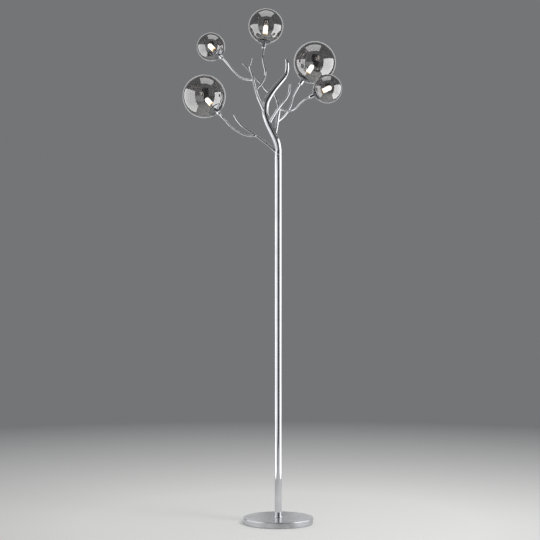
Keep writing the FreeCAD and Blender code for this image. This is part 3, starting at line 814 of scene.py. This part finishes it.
def make_globe(name, sizes):
    """Blown globe whose screw neck is turned inwards."""
    radius = globe_radius(name)
    middle = radius + sizes.lift
    inner = radius - sizes.glass
    neck_outer = sizes.neck_bore + sizes.glass
    rows = 32
    mouth = middle - math.sqrt(radius ** 2 - neck_outer ** 2)
    top = mouth + sizes.neck_height
    outside = bowed(middle, radius, neck_outer, radius, rows)
    crown = [(r, 2 * middle - z) for r, z in reversed(bowed(middle, radius, 0, radius, rows))][1:]
    inside_crown = [(r, 2 * middle - z) for r, z in bowed(middle, inner, 0, inner, rows)]
    inside = bowed(middle, inner, inner, neck_outer, rows)[1:]
    bm = turned([*outside, *crown, *inside_crown, *inside, (neck_outer, top), (sizes.neck_bore, top),
                 (sizes.neck_bore, mouth + 1 * MM)], steps=96)
    round_corners(bm, 0.5 * MM, 3)
    # Marks the outer skin, which carries the mirror coat
    coated = bm.verts.layers.float.new("outside")
    half_way = radius - sizes.glass / 2
    for vert in bm.verts:
        vert[coated] = 1.0 if (vert.co - middle * UP).length > half_way else 0.0
    finish_piece("globe_" + name + "_blown", put(bm, lamp_place(name)), "smoke_glass", "globe_" + name,
                 "globe_" + name, weighted=False)


def make_holder(name, sizes):
    """Ceramic lampholder with a waist for its spring clip and a rounded top."""
    bottom = saucer_floor(name, sizes) + sizes.ring_floor
    radius, top = sizes.holder_radius, sizes.holder_top
    waist = bottom + 8 * MM
    bm = turned([
        (sizes.hole, bottom), (radius, bottom), (radius, waist), (radius - 0.8 * MM, waist + 0.4 * MM),
        (radius - 0.8 * MM, waist + 1.6 * MM), (radius, waist + 2 * MM), (radius, top - 0.6 * MM),
        (radius - 1.2 * MM, top), (0, top), (0, 11 * MM), (sizes.hole, 11 * MM),
    ], steps=64)
    round_corners(bm, 0.25 * MM, 2)
    finish_piece("lampholder_" + name, put(bm, lamp_place(name)), "holder_ceramic", "stand",
                 "holder_" + name)


def make_bulb(name, sizes):
    """Pin bulb: a glazed base with two pins, and the lit capsule."""
    bottom = sizes.holder_top + 0.3 * MM
    seam = bottom + 5 * MM
    base = turned([
        (0, bottom), (sizes.bulb_base - 0.8 * MM, bottom), (sizes.bulb_base, bottom + 1.2 * MM),
        (sizes.bulb_base, seam), (0, seam),
    ], steps=48)
    round_corners(base, 0.3 * MM, 2)
    for side in (-1, 1):
        place = Matrix.Translation((side * sizes.pin_spacing / 2, 0, bottom - sizes.pin_length / 2))
        bmesh.ops.create_cone(base, cap_ends=True, segments=16, radius1=sizes.pin_radius,
                              radius2=sizes.pin_radius, depth=sizes.pin_length, matrix=place)
    pin_ends = [edge for edge in base.edges
                if all(vert.co.z < bottom - sizes.pin_length + NEAR for vert in edge.verts)]
    round_edges(base, pin_ends, 0.3 * MM, 2)
    body = "bulb_" + name
    finish_piece("bulb_foot_" + name, put(base, lamp_place(name)), "bulb_base", body,
                 "bulb_base_" + name)

    radius = sizes.bulb_radius
    crown = seam + sizes.bulb_height - radius
    dome = [(r, 2 * crown - z) for r, z in reversed(bowed(crown, radius, 0, radius, 10))]
    glass = turned([(0, seam), (sizes.bulb_base, seam), (sizes.bulb_base + 0.6 * MM, seam + 1 * MM),
                    (radius, seam + 4 * MM), *dome], steps=48)
    rise = glass.verts.layers.float.new("rise")
    for vert in glass.verts:
        vert[rise] = (vert.co.z - seam) / sizes.bulb_height
    finish_piece("bulb_capsule_" + name, put(glass, lamp_place(name)), "bulb_glass", body,
                 "bulb_glass_" + name)


# --- Stage ----------------------------------------------------------------------------------------

def hide_from(made, *rays):
    for ray in rays:
        setattr(made, "visible_" + ray, False)


def stage_panel(name, left, right, depth, bottom, top, material):
    """Upright panel across the stage that is only seen in reflections."""
    place = Matrix.Translation(((left + right) / 2, depth, (bottom + top) / 2))
    upright = Matrix.Rotation(math.pi / 2, 4, "X")
    bm = bmesh.new()
    bmesh.ops.create_grid(bm, x_segments=1, y_segments=1, size=0.5,
                          matrix=place @ upright @ Matrix.Diagonal((right - left, top - bottom, 1, 1)))
    panel = add_object(name, mesh_of(name, bm, material))
    hide_from(panel, "camera", "diffuse", "transmission", "volume_scatter", "shadow")


def soft_box(name, place, width, height, radiance, unseen=()):
    """Area lamp that shines along its place's -Z, as bright as its surface should look."""
    lamp = bpy.data.lights.new(name, "AREA")
    lamp.shape = "RECTANGLE"
    lamp.size = width
    lamp.size_y = height
    lamp.energy = radiance * math.pi * width * height
    box = add_object(name, lamp)
    box.matrix_world = place
    hide_from(box, "camera", *unseen)


def make_floor(settings):
    """Pale floor that fades into the background further out."""
    material, tree, shader, place = start_material("pale_paper_floor",
                                                   {"Roughness": 0.9, "Specular IOR Level": 0.0})
    fibre = add_node(tree, NOISE, {"Vector": place, "Scale": per_metre(8), "Detail": 3})["Fac"]
    vary_colour(tree, shader, fibre, settings.floor, colour("#EBEBEA"))
    away = add_node(tree, "ShaderNodeVectorMath", {"Vector": place}, operation="LENGTH")["Value"]
    fade = add_node(tree, "ShaderNodeMapRange", {"Value": away, "From Min": 0.7, "From Max": 3.5})["Result"]
    clear = add_node(tree, "ShaderNodeBsdfTransparent", {})["BSDF"]
    mixed = add_node(tree, "ShaderNodeMixShader", {"Fac": fade, 1: shader.outputs["BSDF"], 2: clear})
    tree.links.new(mixed["Shader"], tree.nodes["Material Output"].inputs["Surface"])
    bm = bmesh.new()
    bmesh.ops.create_circle(bm, cap_ends=True, segments=96, radius=6.0)
    add_object("floor", mesh_of("floor", bm, material))


def make_world(settings):
    """Plain grey background for the eye and for reflections, and a brighter level of light from it."""
    world = bpy.data.worlds.new("studio")
    bpy.context.scene.world = world
    world.use_nodes = True
    tree = world.node_tree
    path = add_node(tree, "ShaderNodeLightPath", {})
    seen = path["Is Camera Ray"]
    for ray in ("Is Glossy Ray", "Is Transmission Ray"):
        seen = add_node(tree, "ShaderNodeMath", {0: seen, 1: path[ray]}, operation="MAXIMUM")["Value"]
    vary_colour(tree, tree.nodes["Background"], seen, colour("#C4C4C4"), settings.background, 0.0, 1.0,
                key="Color")


def make_lamps():
    """Two tall soft boxes beside the lamp, one above it, and a soft key that throws its shadow."""
    # The two beside the lamp only shine in metal and glass, so the floor keeps an even tone
    for name, side, radiance in (("left", -1, 1.5), ("right", 1, 2.1)):
        beside = (Matrix.Translation((side * 1.1, -0.05, 0.95))
                  @ Matrix.Rotation(side * math.pi / 2, 4, "Y"))
        soft_box("soft_box_" + name, beside, 1.9, 1.5, radiance, unseen=("diffuse",))
    soft_box("soft_box_top", Matrix.Translation((0, -0.1, 2.7)), 1.1, 1.0, 1.1)
    from_front = (Matrix.Translation((1.5, -0.9, 2.3)) @ Matrix.Rotation(math.radians(25), 4, "X")
                  @ Matrix.Rotation(math.radians(32), 4, "Y"))
    soft_box("soft_key", from_front, 0.9, 0.9, 9.0, unseen=("glossy", "transmission"))


def screen_cloth(name, tone, glow=0.0):
    return start_material(name, {"Roughness": 0.9, "Base Color": opaque(tone),
                                 "Emission Color": opaque(tone), "Emission Strength": glow})[0]


def make_screens(settings):
    """A grey screen high in front, dark strips before it, and pale cards round them."""
    dark = screen_cloth("black_screen_cloth", settings.cloth)
    dim = screen_cloth("grey_screen_cloth", settings.dusk)
    pale = screen_cloth("pale_card", settings.card, glow=0.35)
    front = -2.2
    back = 2.2
    # High and low panels meet a little above the tree's first branch
    seam = 1.45
    stage_panel("screen_high", -2.9, 2.9, front - 0.05, seam, 5.0, dim)
    stage_panel("strip_high", -0.65, 0.8, front, seam, 3.4, dark)
    stage_panel("strip_low", -0.27, 0.93, front, 0, seam, dark)
    stage_panel("card_front", -2.9, -0.27, front, 0, seam, pale)
    stage_panel("card_back", -1.8, 1.8, back, 0.6, 3.8, pale)
    # Two low cards with a gap behind the stem: the foot's top shines beside it and is dimmer there
    stage_panel("card_low_left", -1.2, -0.07, back, 0.12, 0.6, pale)
    stage_panel("card_low_right", 0.07, 1.2, back, 0.12, 0.6, pale)


def make_camera(settings):
    lens = bpy.data.cameras.new("camera")
    lens.sensor_width = 36
    lens.lens = settings.lens
    lens.clip_end = 100
    camera = add_object("camera", lens)
    camera.matrix_world = (Matrix.Translation((settings.camera_side, -settings.camera_back,
                                               settings.camera_height))
                           @ Matrix.Rotation(math.pi / 2, 4, "X"))
    bpy.context.scene.camera = camera


# --- Operators ------------------------------------------------------------------------------------

class LAMP_OT_stage(bpy.types.Operator):
    """Makes the floor, background, lights, screens and camera"""
    bl_idname = "lamp.stage"
    bl_label = "Stage"

    def execute(self, context):
        settings = context.scene.lamp_stage
        make_floor(settings)
        make_world(settings)
        make_lamps()
        make_screens(settings)
        make_camera(settings)
        context.scene.view_settings.view_transform = "Standard"
        return {"FINISHED"}


class LAMP_OT_foot(bpy.types.Operator):
    """Makes the foot's cover, collar, pad and cord gland"""
    bl_idname = "lamp.foot"
    bl_label = "Foot"

    def execute(self, context):
        sizes = context.scene.lamp_foot
        make_cover(sizes)
        make_collar(sizes)
        make_pad(sizes)
        make_gland(sizes)
        return {"FINISHED"}


class LAMP_OT_stem(bpy.types.Operator):
    """Makes the three lengths of the stem"""
    bl_idname = "lamp.stem"
    bl_label = "Stem"

    def execute(self, context):
        for name in STEM_LENGTHS:
            make_stem_length(name, context.scene.lamp_stem)
        return {"FINISHED"}


class LAMP_OT_trunk(bpy.types.Operator):
    """Makes the bent trunk and its bare-tipped branches"""
    bl_idname = "lamp.trunk"
    bl_label = "Trunk and branches"

    def execute(self, context):
        make_trunk(context.scene.lamp_tree)
        for name in BRANCHES:
            make_branch(name, context.scene.lamp_tree)
        return {"FINISHED"}


class LAMP_OT_arms(bpy.types.Operator):
    """Makes the arms and the ferrules at their ends"""
    bl_idname = "lamp.arms"
    bl_label = "Arms and ferrules"

    def execute(self, context):
        for name in SHADES:
            make_arm(name, context.scene.lamp_tree)
        sizes = context.scene.lamp_shades
        bm = on_all_shades([ferrule_drawing(sizes) for _ in SHADES])
        finish_piece("ferrules_turned", bm, "polished_chrome", "stand", "arm_ferrules")
        return {"FINISHED"}


class LAMP_OT_saucers(bpy.types.Operator):
    """Makes the saucers, the thread rings on them and the gaskets"""
    bl_idname = "lamp.saucers"
    bl_label = "Saucers, rings and gaskets"

    def execute(self, context):
        sizes = context.scene.lamp_shades
        for name in SHADES:
            make_saucer(name, sizes)
            make_gasket(name, sizes)
        bm = on_all_shades([thread_ring_drawing(name, sizes) for name in SHADES])
        finish_piece("thread_rings_turned", bm, "turned_aluminium", "stand", "thread_rings")
        return {"FINISHED"}


class LAMP_OT_bulbs(bpy.types.Operator):
    """Makes the lampholders and the lit bulbs in them"""
    bl_idname = "lamp.bulbs"
    bl_label = "Lampholders and bulbs"

    def execute(self, context):
        for name in SHADES:
            make_holder(name, context.scene.lamp_shades)
            make_bulb(name, context.scene.lamp_shades)
        return {"FINISHED"}


class LAMP_OT_globes(bpy.types.Operator):
    """Makes the blown globes"""
    bl_idname = "lamp.globes"
    bl_label = "Globes"

    def execute(self, context):
        for name in SHADES:
            make_globe(name, context.scene.lamp_shades)
        return {"FINISHED"}


class LAMP_OT_inner_parts(bpy.types.Operator):
    """Gives the parts inside foot, stem and lampholders their finishes"""
    bl_idname = "lamp.inner_parts"
    bl_label = "Inner parts"

    def execute(self, context):
        for part in frame["record"]["subparts"]:
            node = frame["nodes"][part["node"]]
            if not node.hide_render:
                for place in node.material_slots:
                    place.material = finish_of(part["material_slot"])
        return {"FINISHED"}


OPERATORS = (LAMP_OT_stage, LAMP_OT_foot, LAMP_OT_stem, LAMP_OT_trunk, LAMP_OT_arms, LAMP_OT_saucers,
             LAMP_OT_bulbs, LAMP_OT_globes, LAMP_OT_inner_parts)
GROUPS = {
    "lamp_foot": FootSizes, "lamp_stem": StemSizes, "lamp_tree": TreeSizes, "lamp_shades": ShadeSizes,
    "lamp_finishes": Finishes, "lamp_stage": StageSettings,
}


class LAMP_PT_panel(bpy.types.Panel):
    """Lists the lamp's groups of pieces"""
    bl_idname = "LAMP_PT_panel"
    bl_label = "Tree Floor Lamp"
    bl_space_type = "VIEW_3D"
    bl_region_type = "UI"
    bl_category = "Tree Lamp"

    def draw(self, context):
        for operator in OPERATORS:
            self.layout.operator(operator.bl_idname)


CLASSES = (*GROUPS.values(), *OPERATORS, LAMP_PT_panel)


def register():
    for kind in CLASSES:
        bpy.utils.register_class(kind)
    for name, kind in GROUPS.items():
        setattr(bpy.types.Scene, name, PointerProperty(type=kind))


def unregister():
    for name in GROUPS:
        delattr(bpy.types.Scene, name)
    for kind in reversed(CLASSES):
        bpy.utils.unregister_class(kind)


def main():
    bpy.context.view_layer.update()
    register()
    for operator in OPERATORS:
        group, action = operator.bl_idname.split(".")
        getattr(getattr(bpy.ops, group), action)()


if __name__ == "__main__":
    main()
